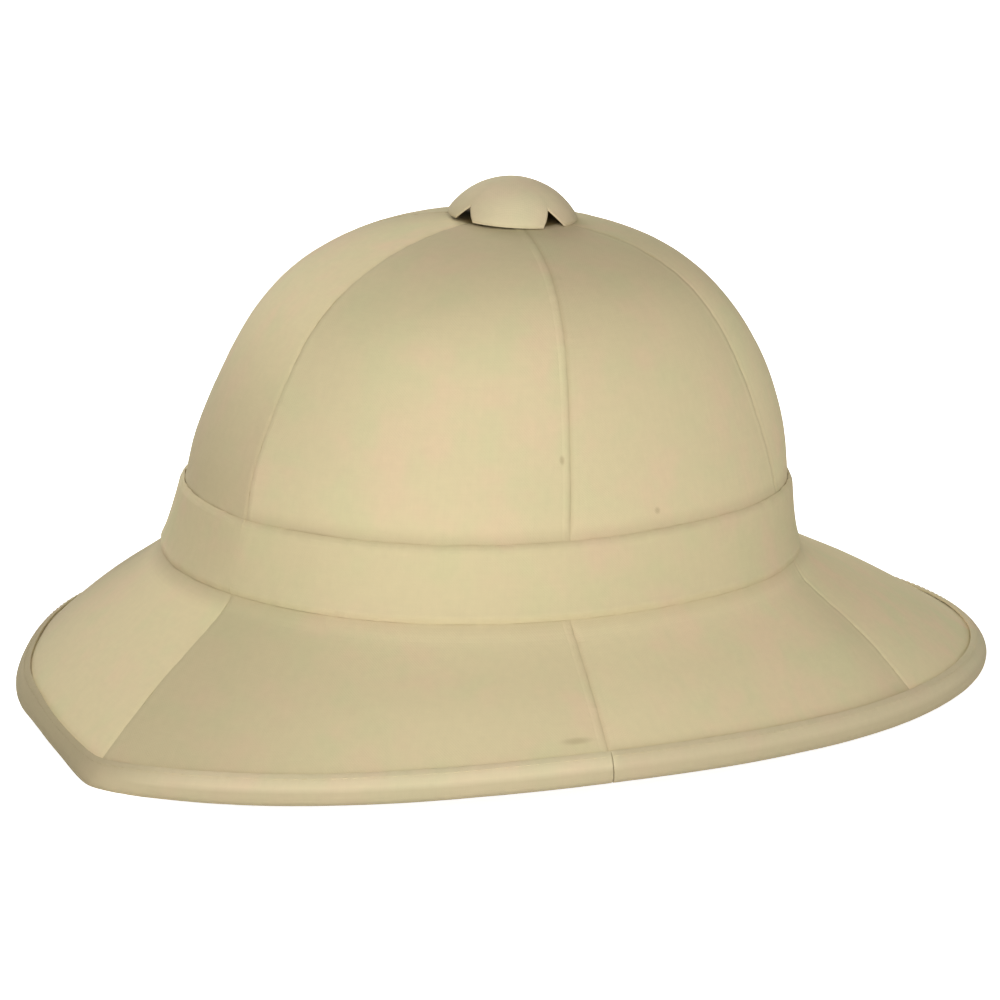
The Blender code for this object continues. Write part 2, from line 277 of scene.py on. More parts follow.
def soften_crown(points, lengths, slopes):
    """Slopes of the crown's inner stations that let its curvature run on from one piece to the next."""
    count = BAND_TOP_STATION
    before, after = lengths[:, :count - 1], lengths[:, 1:count]
    rates = np.diff(points[:, :count + 1], axis=1) / lengths[:, :count, None]
    matrix = np.zeros((len(points), count - 1, count - 1))
    inner = np.arange(count - 1)
    matrix[:, inner, inner] = 2 * (before + after)
    matrix[:, inner[1:], inner[:-1]] = after[:, 1:]
    matrix[:, inner[:-1], inner[1:]] = before[:, :-1]
    right = 3 * (after[..., None] * rates[:, :-1] + before[..., None] * rates[:, 1:])
    right[:, 0] -= after[:, :1] * slopes[:, 0]
    right[:, -1] -= before[:, -1:] * slopes[:, count]
    slopes[:, 1:count] = np.linalg.solve(matrix, right)


def skin_at(angle, station):
    """(radius, height) of the skin and its unit direction of travel, at equal flat arrays of places."""
    points, lengths, slopes = skin_curve(angle)
    index = np.clip(np.floor(station).astype(int), 0, EDGE_STATION - 1)
    t = (station - index)[:, None]
    row = np.arange(len(angle))
    reach = lengths[row, index][:, None]
    start, end = points[row, index], points[row, index + 1]
    leave, arrive = slopes[row, index] * reach, slopes[row, index + 1] * reach
    place = (start * (2 * t ** 3 - 3 * t ** 2 + 1) + leave * (t ** 3 - 2 * t ** 2 + t)
             + end * (3 * t ** 2 - 2 * t ** 3) + arrive * (t ** 3 - t ** 2))
    travel = (start * (6 * t ** 2 - 6 * t) + leave * (3 * t ** 2 - 4 * t + 1)
              + end * (6 * t - 6 * t ** 2) + arrive * (3 * t ** 2 - 2 * t))
    return place, unit(travel)


# the shift along the hat that brings its middle to the origin
FRONT_AND_BACK = rim_radius(np.array([0.0, 180.0]), 0.0)
HAT_SHIFT = (FRONT_AND_BACK[0] - FRONT_AND_BACK[1]) / 2


def hat_point(angle, flat):
    """(radius, height) pairs in millimetres at each angle, as points of the hat in metres."""
    turn = np.radians(angle)
    radius, height = flat[..., 0], flat[..., 1]
    return np.stack([np.sin(turn) * radius, HAT_SHIFT - np.cos(turn) * radius, height], axis=-1) * MM


def skin_layer(angle, station, offset):
    """Points at an offset outward from the skin, for grids of angles and stations."""
    angle, station = np.broadcast_arrays(angle, station)
    place, travel = skin_at(angle.ravel(), station.ravel())
    outward = flat_pair(-travel[:, 1], travel[:, 0])
    flat = place + outward * offset
    return hat_point(angle.ravel(), flat).reshape(*angle.shape, 3)


def station_at(angle, radius):
    """Station near the top of the crown where the skin has this radius."""
    low, high = 0.0, NEAR_TOP
    for _ in range(HALVINGS):
        middle = (low + high) / 2
        if skin_at(np.array([angle]), np.array([middle]))[0][0, 0] < radius:
            low = middle
        else:
            high = middle
    return low


def seam_angle(seam, station):
    top, foot, edge = seam
    upper = top + (foot - top) * station / BAND_BOTTOM_STATION
    share = (station - BAND_BOTTOM_STATION) / (EDGE_STATION - BAND_BOTTOM_STATION)
    return np.where(station <= BAND_BOTTOM_STATION, upper, foot + (edge - foot) * share)


def even_stations(angle, first, last, spacing):
    """Stations from first to last, about a spacing apart along the skin at an angle, and their runs."""
    fine = np.linspace(first, last, FINE_STEPS)
    run = run_along(skin_at(np.full(len(fine), float(angle)), fine)[0])
    count = int(round(run[-1] / spacing)) + 1
    even = np.linspace(0, run[-1], count)
    return np.interp(even, run, fine), even


# ---- node helpers

FLOAT, VECTOR, COLOUR = "NodeSocketFloat", "NodeSocketVector", "NodeSocketColor"
GEOMETRY, MATERIAL, WHOLE = "NodeSocketGeometry", "NodeSocketMaterial", "NodeSocketInt"


def set_inputs(tree, node, values):
    """Links or sets each named or numbered input of a node."""
    for key, value in values.items():
        if isinstance(value, bpy.types.NodeSocket):
            tree.links.new(value, node.inputs[key])
        else:
            node.inputs[key].default_value = value


def add_node(tree, kind, inputs=None, **settings):
    node = tree.nodes.new(kind)
    for name, value in settings.items():
        setattr(node, name, value)
    set_inputs(tree, node, inputs or {})
    return node


def output(tree, kind, inputs=None, **settings):
    """The first output of a new node."""
    return add_node(tree, kind, inputs, **settings).outputs[0]


def calc(tree, operation, *values):
    return output(tree, "ShaderNodeMath", dict(enumerate(values)), operation=operation)


def product(tree, first, *others):
    for value in others:
        first = calc(tree, "MULTIPLY", first, value)
    return first


def times(tree, vector, number):
    return output(tree, "ShaderNodeVectorMath", {0: vector, "Scale": number}, operation="SCALE")


def length(tree, vector):
    return add_node(tree, "ShaderNodeVectorMath", {0: vector}, operation="LENGTH").outputs["Value"]


def noise(tree, dimensions, **inputs):
    return output(tree, "ShaderNodeTexNoise", inputs, noise_dimensions=dimensions)


def ranged(tree, value, low, high, start=0.0, end=1.0, kind="SMOOTHSTEP"):
    """From start to end as the value goes from low to high."""
    return output(tree, "ShaderNodeMapRange", {
        "Value": value, "From Min": low, "From Max": high, "To Min": start, "To Max": end},
        interpolation_type=kind)


def mixed(tree, share, first, second, blend="MIX"):
    return add_node(tree, "ShaderNodeMix", {0: share, 6: first, 7: second},
                    data_type="RGBA", blend_type=blend).outputs[2]


def named(tree, name, kind="FLOAT"):
    """A named field of the mesh that a Geometry Nodes tree gets."""
    return output(tree, "GeometryNodeInputNamedAttribute", {"Name": name}, data_type=kind)


def fade_from_edge(tree, edge, width):
    """1 at a sewn edge, falling as a square to 0 at a width from it."""
    near = calc(tree, "MAXIMUM", calc(tree, "SUBTRACT", 1.0, calc(tree, "DIVIDE", edge, width)), 0.0)
    return product(tree, near, near)


def new_tree(name, kind, inputs, outputs):
    """A node tree with named sockets of each type, and its input and output nodes."""
    tree = bpy.data.node_groups.new(name, kind)
    for way, sockets in (("INPUT", inputs), ("OUTPUT", outputs)):
        for socket, labels in sockets.items():
            for label in labels:
                tree.interface.new_socket(label, in_out=way, socket_type=socket)
    return tree, tree.nodes.new("NodeGroupInput").outputs, tree.nodes.new("NodeGroupOutput").inputs


# ---- Geometry Nodes: sewn cloth and stitches

# how each kind of piece is sewn, in metres
SEWING_COLUMNS = ("Roll Depth", "Roll Width", "Allowance Height", "Allowance Width",
                  "Pucker Height", "Pucker Spacing", "Pucker Width", "Unevenness", "Patch Size")
SEWING = {
    "gore": (0.00022, 0.0019, 0.0001, 0.0026, 0.00008, 0.008, 0.007, 0.00028, 0.024),
    "band": (0.0012, 0.0026, 0.0, 0.005, 0.00018, 0.012, 0.006, 0.0003, 0.025),
    "tape": (0.00065, 0.0030, 0.0, 0.002, 0.00008, 0.006, 0.005, 0.00015, 0.02),
    "cap": (0.0005, 0.0012, 0.0, 0.002, 0.0, 0.006, 0.005, 0.0002, 0.015),
}
LEAST_THICKNESS = 0.0001  # metres that are left between the face and the back of a rolled edge
ALLOWANCE_START = 0.8  # shares of the seam allowance's width between which its height fades out
ALLOWANCE_END = 1.2
WANDER_RATE = 0.6  # how fast the puckers' spacing wanders, and by how many puckers
WANDER_REACH = 2.0


def make_sewn_cloth_tree():
    """Turns skin into sewn cloth: rolled edges, seam allowances, puckers, unevenness and thickness."""
    tree, given, result = new_tree("sewn_cloth", "GeometryNodeTree", {
        GEOMETRY: ("Skin",), FLOAT: ("Thickness", *SEWING_COLUMNS, "Seed"), MATERIAL: ("Material",),
    }, {GEOMETRY: ("Cloth",)})
    edge = named(tree, "edge_gap")
    pressed = product(tree, named(tree, "pressed"), given["Allowance Height"])
    roll = product(tree, fade_from_edge(tree, edge, given["Roll Width"]), given["Roll Depth"])
    allowance = ranged(tree, edge, product(tree, given["Allowance Width"], ALLOWANCE_START),
                       product(tree, given["Allowance Width"], ALLOWANCE_END), pressed, 0.0)

    puckers = calc(tree, "DIVIDE", named(tree, "along"), given["Pucker Spacing"])
    wander = noise(tree, "1D", W=calc(tree, "ADD", given["Seed"], puckers), Scale=WANDER_RATE)
    phase = calc(tree, "ADD", puckers, product(tree, wander, WANDER_REACH))
    wave = calc(tree, "SINE", product(tree, phase, 2 * pi))
    pucker = product(tree, wave, fade_from_edge(tree, edge, given["Pucker Width"]), given["Pucker Height"])

    position = output(tree, "GeometryNodeInputPosition")
    patches = noise(tree, "4D", Vector=times(tree, position, calc(tree, "DIVIDE", 1.0, given["Patch Size"])),
                    W=given["Seed"], Scale=1.0, Detail=2.0)
    uneven = product(tree, calc(tree, "SUBTRACT", patches, 0.5), 2.0, given["Unevenness"])

    height = calc(tree, "ADD", calc(tree, "ADD", allowance, uneven), calc(tree, "SUBTRACT", pucker, roll))
    normal = output(tree, "GeometryNodeInputNormal")
    outside = output(tree, "GeometryNodeSetPosition", {
        "Geometry": given["Skin"], "Offset": times(tree, normal, height)})
    depth = calc(tree, "MINIMUM", calc(tree, "SUBTRACT", roll, given["Thickness"]), -LEAST_THICKNESS)
    extruded = add_node(tree, "GeometryNodeExtrudeMesh", {
        "Mesh": outside, "Offset Scale": depth, "Individual": False}, mode="FACES").outputs
    inside = output(tree, "GeometryNodeStoreNamedAttribute", {
        "Geometry": extruded[0], "Selection": extruded["Top"], "Name": "inner", "Value": 1.0},
        data_type="FLOAT", domain="POINT")
    turned = output(tree, "GeometryNodeFlipFaces", {"Mesh": inside})
    both = tree.nodes.new("GeometryNodeJoinGeometry")
    tree.links.new(turned, both.inputs[0])
    tree.links.new(outside, both.inputs[0])
    closed = output(tree, "GeometryNodeMergeByDistance", {
        "Geometry": both.outputs[0], "Distance": MERGE_DISTANCE})
    finish_tree(tree, closed, given["Material"], result["Cloth"])
    return tree


def finish_tree(tree, made, material, result):
    """Turns what was made into plain mesh and gives it its material."""
    whole = output(tree, "GeometryNodeRealizeInstances", {"Geometry": made})
    dressed = output(tree, "GeometryNodeSetMaterial", {"Geometry": whole, "Material": material})
    tree.links.new(dressed, result)


def make_stitch_tree():
    """Lays one stitch on each point, along its heading and flat on the cloth."""
    tree, given, result = new_tree("stitch_row", "GeometryNodeTree", {
        GEOMETRY: ("Points",), FLOAT: ("Stitch Length", "Thread Width", "Length Spread"),
        WHOLE: ("Seed",), MATERIAL: ("Material",),
    }, {GEOMETRY: ("Stitches",)})
    stitch = output(tree, "GeometryNodeMeshUVSphere", {"Segments": 8, "Rings": 5, "Radius": 0.5})
    size = output(tree, "ShaderNodeCombineXYZ", {
        0: given["Stitch Length"], 1: given["Thread Width"], 2: given["Thread Width"]})
    shaped = output(tree, "GeometryNodeTransform", {"Geometry": stitch, "Scale": size})
    heading, upward = (named(tree, name, "FLOAT_VECTOR") for name in ("heading", "upward"))
    along = output(tree, "FunctionNodeAlignRotationToVector", {"Vector": heading}, axis="X")
    flat = output(tree, "FunctionNodeAlignRotationToVector", {"Rotation": along, "Vector": upward},
                  axis="Z", pivot_axis="X")
    stretch = add_node(tree, "FunctionNodeRandomValue", {
        2: calc(tree, "SUBTRACT", 1.0, given["Length Spread"]),
        3: calc(tree, "ADD", 1.0, given["Length Spread"]),
        "Seed": given["Seed"]}, data_type="FLOAT").outputs[1]
    scale = output(tree, "ShaderNodeCombineXYZ", {0: stretch, 1: 1.0, 2: 1.0})
    row = output(tree, "GeometryNodeInstanceOnPoints", {
        "Points": given["Points"], "Instance": shaped, "Rotation": flat, "Scale": scale})
    finish_tree(tree, row, given["Material"], result["Stitches"])
    return tree


SEWN_CLOTH = make_sewn_cloth_tree()
STITCH_ROW = make_stitch_tree()


def run_tree(name, mesh, tree, values):
    """A plain mesh piece made by a node tree from a mesh, its inputs set by name."""
    start = add_object(name + "_start", mesh)
    maker = start.modifiers.new("maker", "NODES")
    maker.node_group = tree
    ids = {item.name: item.identifier for item in tree.interface.items_tree if item.in_out == "INPUT"}
    for label, value in values.items():
        maker[ids[label]] = value
    evaluated = start.evaluated_get(bpy.context.evaluated_depsgraph_get())
    made = bpy.data.meshes.new_from_object(evaluated)
    start.modifiers.remove(maker)
    bpy.data.objects.remove(start)
    made.name = name
    return add_object(name, made)


def sew(name, mesh, kind, thickness, seed, material):
    """A cloth piece made from a mesh of skin."""
    return run_tree(name, mesh, SEWN_CLOTH, {
        "Thickness": thickness * MM, "Seed": seed, "Material": material,
        **dict(zip(SEWING_COLUMNS, SEWING[kind]))})


def finish_piece(piece, node):
    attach(piece, "root")
    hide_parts(node)


# ---- meshes of skin


def set_field(mesh, label, values):
    mesh.attributes.new(label, "FLOAT", "POINT").data.foreach_set("value", values.astype(np.float32).ravel())


def grid_mesh(name, points, across, along, **fields):
    """A mesh from a grid of points, with a UV map in metres and named fields such as the gap to an edge."""
    rows, columns = points.shape[:2]
    numbers = np.arange(rows * columns).reshape(rows, columns)
    corners = (numbers[:-1, :-1], numbers[1:, :-1], numbers[1:, 1:], numbers[:-1, 1:])
    quads = np.stack(corners, axis=-1).reshape(-1, 4)
    mesh = bpy.data.meshes.new(name)
    mesh.from_pydata(points.reshape(-1, 3).tolist(), [], quads.tolist())
    flat = np.stack(np.broadcast_arrays(across, along), axis=-1).reshape(-1, 2)[quads.ravel()]
    mesh.uv_layers.new(name="UVMap").data.foreach_set("uv", flat.astype(np.float32).ravel())
    for label, values in {"along": along, **fields}.items():
        set_field(mesh, label, np.broadcast_to(values, (rows, columns)))
    return mesh


def merge_doubles(mesh):
    """Closes a ring's joint, or a cap's top, where points lie on each other."""
    work = bmesh.new()
    work.from_mesh(mesh)
    bmesh.ops.remove_doubles(work, verts=work.verts, dist=MERGE_DISTANCE)
    work.to_mesh(mesh)
    work.free()


def swap_along(mesh, around, rows):
    """Lets the puckers of a ring follow its length."""
    mesh.attributes["along"].data.foreach_set("value", np.tile(around, rows).astype(np.float32))


def ring_angles(count):
    return np.linspace(0, 360, count + 1)


def smooth_step(value, low, high):
    share = np.clip((value - low) / (high - low), 0, 1)
    return share * share * (3 - 2 * share)


# ---- gores

EDGE_STEPS = np.array([0, 0.3, 0.6, 0.9, 1.3, 1.7, 2.1, 2.5, 3.0, 3.9, 5.2, 7.0])
INNER_COLUMNS = 30
NARROW_GORE = 40.0  # a gore narrower than this has its edge columns closer together
ROW_SPACING = 1.7
SEAM_GAP = 0.02

# how dark each seam is painted on the crown and on the brim, from the front seam round by the left side:
# grime and painted shade in the seam's groove
SEAM_GRIME_AND_SHADE = ((0.14, 0.05), (0.28, 0.24), (0.2, 0.0), (0.22, 0.2), (0.22, 0.2), (0.22, 0.2), (0.14, 0.05))
CONTACT_REACH = 0.010  # painted shade where another piece meets the cloth is worked out within this distance, in metres
# added to each gore's distance from the band and from the tape's hem where that painted shade is fainter
BAND_CLEARANCE = (0.0, 0.0, 0.0, 0.0, 0.0, 4.0)
HEM_CLEARANCE = (8.0, 1.5, 1.5, 1.5, 1.5, 8.0)
UNDER_CAP_REACH = (17.3, 19.8)  # dust and painted shade lie on the crown out to here under the cap

# painted shade on each gore's crown: at its top, and the radii between which that fades out; and at its first
# seam, and how far that reaches, as a share of the gore's width
CROWN_SHADE = (
    (0.18, 30.0, 70.0, 0.0, 1.0),
    (0.33, 60.0, 118.0, 0.0, 1.0),
    (0.30, 30.0, 90.0, 0.0, 1.0),
    (0.20, 30.0, 80.0, 0.0, 1.0),
    (0.10, 30.0, 66.0, 0.0, 1.0),
    (0.0, 30.0, 66.0, 0.45, 0.5),
)
SHADE_ANGLE = 30.0  # those radii are the skin's at this angle
# painted shade towards each gore's foot on the crown, and the stations between which it sets in
FOOT_SHADE_STATIONS = (4.0, 9.0)
FOOT_SHADE = (0.0, 0.0, 0.1, 0.1, 0.2, 0.5)
# painted shade on each gore's brim: amount and reach (share of its width) at its first seam, then at its
# second
BRIM_SHADE = (
    (0.32, 0.37, 0.0, 1.0),
    (0.0, 1.0, 0.16, 0.12),
    (0.0, 1.0, 0.0, 1.0),
    (0.0, 1.0, 0.0, 1.0),
    (0.0, 1.0, 0.1, 0.15),
    (0.95, 0.45, 0.12, 1.0),
)
# how far the seam allowance under each gore's first and second seam stands out, as shares of its height
PRESSED_START = 0.4
PRESSED_END = (1.6, 0.6, 0.6, 0.6, 0.6, 0.2)
FIRST_GORE_SEED = 3.0


def gore_grid(gore, stations):
    """At each row of a gore, its columns' angles, their distances from the middle, and the row's width."""
    start, end = seam_angle(SEAMS[gore], stations), seam_angle(SEAMS[gore + 1], stations)
    place, _ = skin_at((start + end) / 2, stations)
    width = np.radians(end - start) * place[:, 0]
    near = EDGE_STEPS * (np.minimum(1, width / NARROW_GORE) / width)[:, None]
    near = near + (SEAM_GAP / 2 / width)[:, None]
    inner = near[:, -1:] + (1 - 2 * near[:, -1:]) * np.linspace(0, 1, INNER_COLUMNS)[1:-1]
    share = np.concatenate([near, inner, 1 - near[:, ::-1]], axis=1)
    angle = start[:, None] + (end - start)[:, None] * share
    return angle, (share - 0.5) * width[:, None], width


def gore_shade(number, stations, share, on_brim):
    """Painted shade at each row and share of the width of a gore."""
    radius = skin_at(np.full(len(stations), SHADE_ANGLE), stations)[0][:, 0]
    top_shade, fade_start, fade_end, side_shade, side_reach = CROWN_SHADE[number]
    worn = top_shade * (1 - smooth_step(radius, fade_start, fade_end))[:, None] * (1 - on_brim)
    worn = worn + (1 - on_brim) * side_shade * np.exp(-(share / side_reach) ** 2)
    worn = worn + FOOT_SHADE[number] * smooth_step(stations, *FOOT_SHADE_STATIONS)[:, None] * (1 - on_brim)
    start_shade, start_reach, end_shade, end_reach = BRIM_SHADE[number]
    worn = worn + on_brim * start_shade * np.exp(-(share / start_reach) ** 2)
    return worn + on_brim * end_shade * np.exp(-((1 - share) / end_reach) ** 2)


def gore_fields(number, stations, run, across, width, points):
    """Where a gore has grime and painted shade by its seams, painted shade by the band, the hem and
    elsewhere, dust and painted shade under the cap, and where it is pressed over its seam allowance, on its
    grid.
    """
    on_brim = smooth_step(stations, BAND_BOTTOM_STATION, BAND_BOTTOM_STATION + 1)[:, None]
    near_end = across > 0
    first_soil, second_soil = (crown * (1 - on_brim) + brim * on_brim
                               for crown, brim in SEAM_GRIME_AND_SHADE[number:number + 2])
    marks = (BAND_TOP_STATION, BAND_BOTTOM_STATION, EDGE_STATION)
    band_top, band_bottom, hem = np.interp(marks, stations, run)
    # painted shade on the gore along the band's edges and the tape's hem, fading with the distance from them
    off_band = np.maximum(band_top - run, run - band_bottom) + BAND_CLEARANCE[number]
    off_tape = hem - (TAPE_REACH - EDGE_INSET) - run + HEM_CLEARANCE[number]
    contact_shading = CONTACT_REACH - np.minimum(off_band, off_tape) * MM
    off_cap = np.hypot(points[..., 0] / MM - CAP_SHIFT[0], points[..., 1] / MM - CAP_SHIFT[1] - HAT_SHIFT)
    return {
        "edge_gap": (width[:, None] / 2 - np.abs(across)) * MM,
        "soil": np.where(near_end, second_soil, first_soil),
        "pressed": np.where(near_end, PRESSED_END[number], PRESSED_START),
        "contact_shading": np.maximum(contact_shading, 0)[:, None],
        "worn": gore_shade(number, stations, across / width[:, None] + 0.5, on_brim),
        "dust_and_shade": 1 - smooth_step(off_cap, *UNDER_CAP_REACH),
    }


def make_gore(number, material):
    middle = (SEAMS[number][1] + SEAMS[number + 1][1]) / 2
    first = station_at(middle, VENT_RADIUS)
    rim_reach = skin_curve(np.array([middle]))[1][0, -1]
    stations, run = even_stations(middle, first, EDGE_STATION - EDGE_INSET / rim_reach, ROW_SPACING)
    angle, across, width = gore_grid(number, stations)
    points = skin_layer(angle, stations[:, None], 0.0)
    fields = gore_fields(number, stations, run, across, width, points)
    mesh = grid_mesh(COVER[number], points, across * MM, (run * MM)[:, None], **fields)
    piece = sew(COVER[number], mesh, "gore", COVER_THICKNESS, FIRST_GORE_SEED + number, material)
    finish_piece(piece, "cover_" + GORES[number])


# ---- materials

# each cloth's colour, its warm patches, its cool patches, and the dark colour of its grime, marks and painted
# shade
COVER_COLOURS = ((213, 198, 157), (219, 195, 159), (207, 199, 155), (150, 126, 92))
BAND_COLOURS = ((210, 195, 154), (215, 191, 156), (205, 196, 152), (160, 134, 96))
TAPE_COLOURS = ((218, 203, 165), (222, 200, 166), (212, 203, 163), (150, 126, 92))
CAP_COLOURS = ((221, 206, 168), (224, 202, 168), (215, 206, 166), (160, 134, 96))
# each gore's cloth is painted this much lighter, up to a limit: painted light for how much light each panel
# catches
GORE_LIGHT_TONES = (1.0, 1.02, 1.055, 1.03, 1.0, 1.1)
LIGHTEST = 240

DRILL_PITCH = 0.00045  # from thread to thread, in metres, of the cover, the band and the cap
TAPE_PITCH = 0.0004  # and of the tape
WEAVE_DEPTH = 0.25  # of the weave's relief, as a share of its pitch
WEAVE_STRENGTH = 0.25
CROSSING_HEIGHT = 0.35  # of the threads' crossings, against the slubs along them
SLUB_RATE = 0.04  # how slowly a thread's tone changes along it, against across it

# size of the patches in metres, the noise between which they come up, how strong they are, and their seed
WARM_PATCHES = (0.022, 0.45, 0.70, 0.8, 1.0)
COOL_PATCHES = (0.018, 0.45, 0.70, 0.7, 7.0)
MOTTLING_RATE = 380.0  # of the fine mottling, per metre
BASE_TONE = 0.94  # the colour is scaled by this, plus shares of the mottling and the threads' tone
MOTTLING_SHARE = 0.06
THREAD_SHARE = 0.06
GRIME_AND_SHADE_WIDTH = 0.002  # metres from a sewn edge within which it is darkened with grime and painted shade
CONTACT_SHADE_WIDTH = 0.0055  # metres over which the painted shade by a piece that meets the cloth fades out
# how dark that painted shade is at most
CONTACT_SHADE_AMOUNT = 0.22

# angle, station, half length, half width and how dark, of the marks on the near gores
MARKS = (
    (56.0, 14.5, 7.0, 1.2, 0.36),
    (58.0, 7.95, 1.2, 2.2, 0.4),
    (79.5, 9.5, 1.6, 1.6, 0.35),
)
MARK_CORE = 0.2  # share of its half sizes within which a mark is darkest


def linear(value):
    share = value / 255
    return share / 12.92 if share <= 0.04045 else ((share + 0.055) / 1.055) ** 2.4


def paint(red, green, blue):
    return (linear(red), linear(green), linear(blue), 1.0)


# colour towards which the cloth's painted shade darkens it
SHADED_CLOTH = paint(171, 157, 123)
# dark colour of dust and painted shade under the cap, and of the cap's inner face, which is painted shade
DUST_AND_SHADE = paint(122, 103, 62)
CLOTH_FIELDS = {"Edge Gap": "edge_gap", "Grime And Shade": "soil", "Contact Shading": "contact_shading", "Painted Shade": "worn"}


def make_weave_group():
    """Plain weave on a UV map in metres: the height of the threads, and each thread's own tone."""
    tree, given, result = new_tree("plain_weave", "ShaderNodeTree", {
        VECTOR: ("Threads",), FLOAT: ("Thread Pitch", "Slub Seed")}, {FLOAT: ("Height", "Tone")})
    scaled = times(tree, given["Threads"], calc(tree, "DIVIDE", 1.0, given["Thread Pitch"]))
    parts = add_node(tree, "ShaderNodeSeparateXYZ", {0: scaled}).outputs
    cross = product(tree, *(calc(tree, "SINE", product(tree, parts[axis], pi)) for axis in (0, 1)))
    slubs = []
    for stretch in ((1.0, SLUB_RATE, 0.0), (SLUB_RATE, 1.0, 0.0)):
        along = output(tree, "ShaderNodeVectorMath", {0: scaled, 1: stretch}, operation="MULTIPLY")
        slubs.append(noise(tree, "4D", Vector=along, W=given["Slub Seed"], Scale=1.0, Detail=1.0))
    tone = product(tree, calc(tree, "ADD", *slubs), 0.5)
    tree.links.new(calc(tree, "ADD", product(tree, cross, CROSSING_HEIGHT), tone), result["Height"])
    tree.links.new(tone, result["Tone"])
    return tree


def make_fade_group():
    """Old cloth's uneven colour: warm and cool patches, painted shade, fine mottling, grime and painted shade
    by the seams and by pieces it meets, marks, and dust and painted shade under the cap.
    """
    tree, given, result = new_tree("faded_cloth", "ShaderNodeTree", {
        VECTOR: ("Place",),
        FLOAT: ("Edge Gap", "Tone", "Grime And Shade Width", "Grime And Shade", "Contact Shading", "Painted Shade", "Under Cap Share", "Marked"),
        COLOUR: ("Cloth", "Warm", "Cool", "Grime And Shade Colour", "Worn Cloth", "Under Cap Colour"),
    }, {COLOUR: ("Colour",)})

    def patches(size, low, high, amount, seed):
        field = noise(tree, "4D", Vector=given["Place"], W=seed, Scale=1 / size, Detail=2.0, Roughness=0.55)
        return product(tree, ranged(tree, field, low, high), amount)

    warm = mixed(tree, patches(*WARM_PATCHES), given["Cloth"], given["Warm"])
    cool = mixed(tree, patches(*COOL_PATCHES), warm, given["Cool"])
    worn = mixed(tree, given["Painted Shade"], cool, given["Worn Cloth"])
    mottling = noise(tree, "3D", Vector=given["Place"], Scale=MOTTLING_RATE, Detail=2.0, Roughness=0.4)
    fine = calc(tree, "ADD", product(tree, mottling, MOTTLING_SHARE),
                product(tree, given["Tone"], THREAD_SHARE))
    value = calc(tree, "ADD", BASE_TONE, fine)
    grey = output(tree, "ShaderNodeCombineColor", {0: value, 1: value, 2: value})
    toned = mixed(tree, 1.0, worn, grey, "MULTIPLY")
    # painted shade where the band or the tape's hem meets the cloth
    contact_shade = ranged(tree, given["Contact Shading"], CONTACT_REACH - CONTACT_SHADE_WIDTH, CONTACT_REACH, 0.0, CONTACT_SHADE_AMOUNT)
    # grime and painted shade along each sewn edge, as dark as its field says
    sewn = product(tree, fade_from_edge(tree, given["Edge Gap"], given["Grime And Shade Width"]), given["Grime And Shade"])
    # the darkest of the painted shade by meeting pieces, the seams' grime and painted shade, and the marks
    marked = calc(tree, "MAXIMUM", calc(tree, "MAXIMUM", contact_shade, sewn), given["Marked"])
    soiled = mixed(tree, marked, toned, given["Grime And Shade Colour"])
    tree.links.new(mixed(tree, given["Under Cap Share"], soiled, given["Under Cap Colour"]), result["Colour"])
    return tree


def make_mark_group():
    """A soft oval mark: strongest at its centre, falling to 0 at its half sizes."""
    tree, given, result = new_tree("cloth_mark", "ShaderNodeTree", {
        VECTOR: ("Place", "Centre", "Turn", "Half Sizes"), FLOAT: ("Amount",)}, {FLOAT: ("Share",)})
    local = output(tree, "ShaderNodeMapping", {
        "Vector": given["Place"], "Location": given["Centre"], "Rotation": given["Turn"],
        "Scale": given["Half Sizes"]}, vector_type="TEXTURE")
    share = ranged(tree, length(tree, local), 1.0, MARK_CORE, 0.0, given["Amount"])
    tree.links.new(share, result["Share"])
    return tree


WEAVE = make_weave_group()
FADE = make_fade_group()
MARK = make_mark_group()


def new_material(name):
    material = bpy.data.materials.new(name)
    material.use_nodes = True
    return material, material.node_tree, material.node_tree.nodes["Principled BSDF"]


def add_marks(tree, place):
    """The strongest of the marks at a place."""
    strongest = 0.0
    for angle, station, half_length, half_width, amount in MARKS:
        centre = skin_layer(np.array([angle]), np.array([station]), 0.0)[0]
        mark = output(tree, "ShaderNodeGroup", {
            "Place": place, "Centre": tuple(centre), "Turn": (0.0, 0.0, radians(angle)), "Amount": amount,
            "Half Sizes": (half_length * MM, half_length * MM, half_width * MM)}, node_tree=MARK)
        strongest = calc(tree, "MAXIMUM", mark, strongest)
    return strongest


